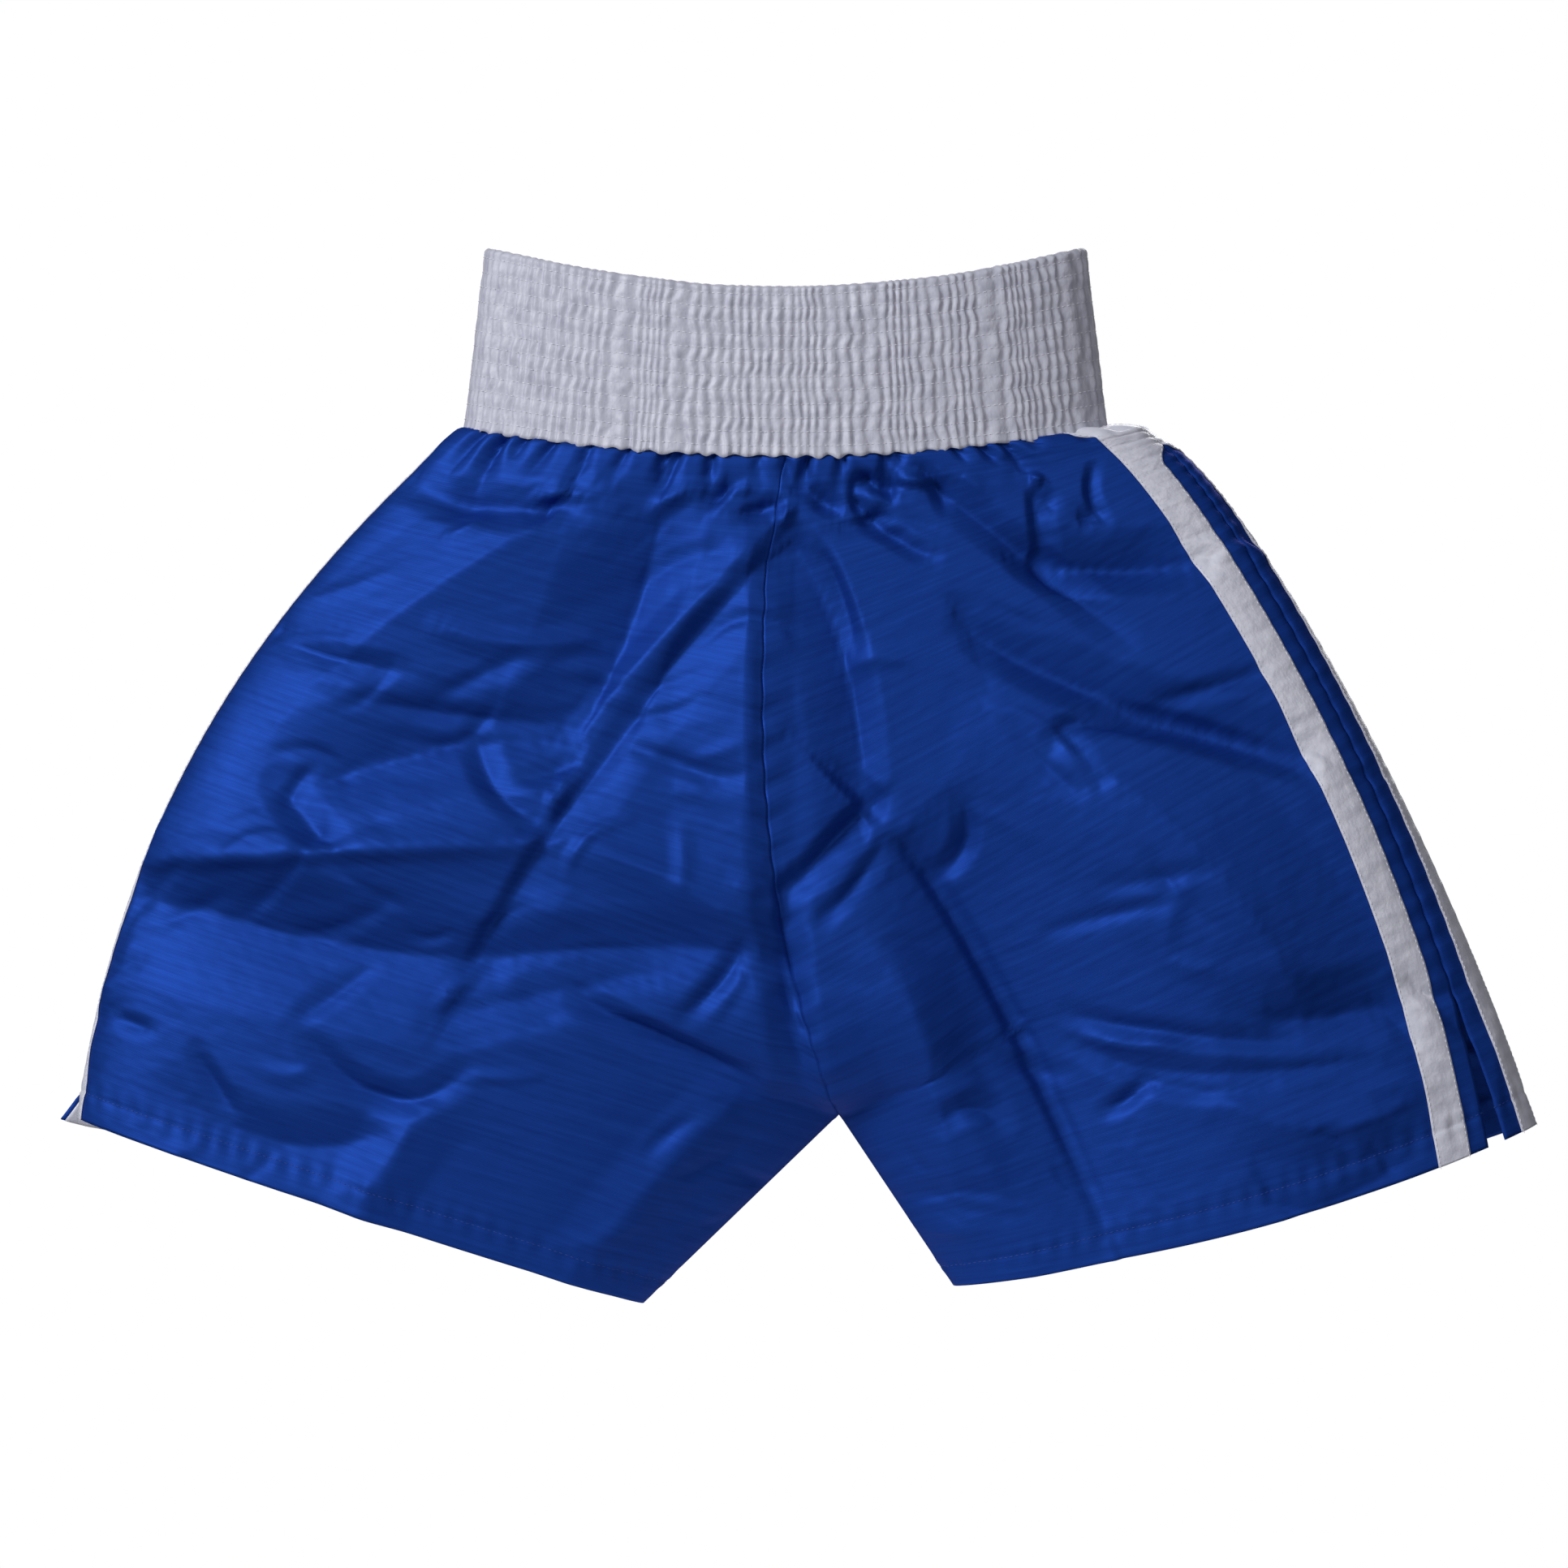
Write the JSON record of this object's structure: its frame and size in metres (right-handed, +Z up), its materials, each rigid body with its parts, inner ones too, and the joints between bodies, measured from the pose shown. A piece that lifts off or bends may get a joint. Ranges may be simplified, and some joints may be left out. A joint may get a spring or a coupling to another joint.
{
  "type": "boxing shorts",
  "caption": "Loose satin boxing trunks with a wide ruched elastic waistband, side stripes and open side vents, hung open at the waist and legs.",
  "frame": {"origin": "the middle of the waistband, halfway up its height", "axes": "+X to the wearer's left, -Y to the front, +Z up"},
  "size_m": [0.8185, 0.1192, 0.5851],
  "materials": {
    "blue_satin": "royal blue polyester satin",
    "silver_satin": "silver white satin, gathered over elastic",
    "white_tape": "white satin tape",
    "knitted_elastic": "knitted elastic webbing"
  },
  "bodies": {
    "root": {"front_left_panel": "blue_satin", "front_left_stripe": "white_tape", "front_left_vent_facing": "white_tape", "front_right_panel": "blue_satin", "front_right_stripe": "white_tape", "front_right_vent_facing": "white_tape", "back_left_panel": "blue_satin", "back_left_stripe": "white_tape", "back_left_vent_facing": "white_tape", "back_right_panel": "blue_satin", "back_right_stripe": "white_tape", "back_right_vent_facing": "white_tape", "waistband_cover_front": "silver_satin", "waistband_cover_back": "silver_satin", "waist_elastic": "knitted_elastic"}
  },
  "joints": []
}
